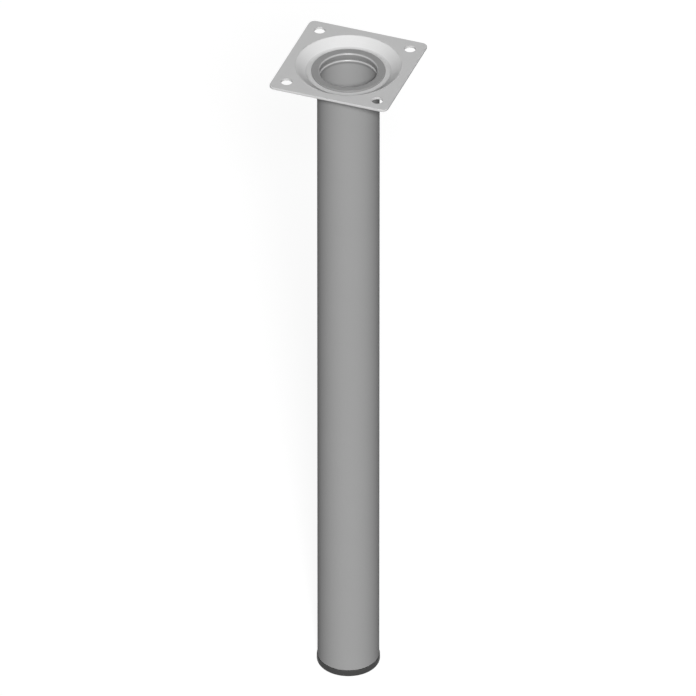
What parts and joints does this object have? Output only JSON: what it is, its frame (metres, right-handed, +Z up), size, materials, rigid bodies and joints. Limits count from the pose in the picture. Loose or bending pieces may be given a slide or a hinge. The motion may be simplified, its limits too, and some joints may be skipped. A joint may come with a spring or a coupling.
{
  "type": "table leg",
  "caption": "Round steel furniture leg with a dished square mounting plate, a rolled and beaded tube end and a push-in plastic glide.",
  "frame": {"origin": "centre of the glide's underside, where the leg stands on the floor", "axes": "+Z up along the tube to the mounting plate, X and Y along the plate's edges"},
  "size_m": [0.06, 0.06, 0.35],
  "materials": {
    "plate_steel": "zinc plated sheet steel, satin",
    "tube_steel": "smooth satin grey coating",
    "glide_plastic": "fine moulded texture"
  },
  "bodies": {
    "root": {"mounting_plate": "plate_steel", "leg_tube": "tube_steel", "foot_glide": "glide_plastic"}
  },
  "joints": []
}
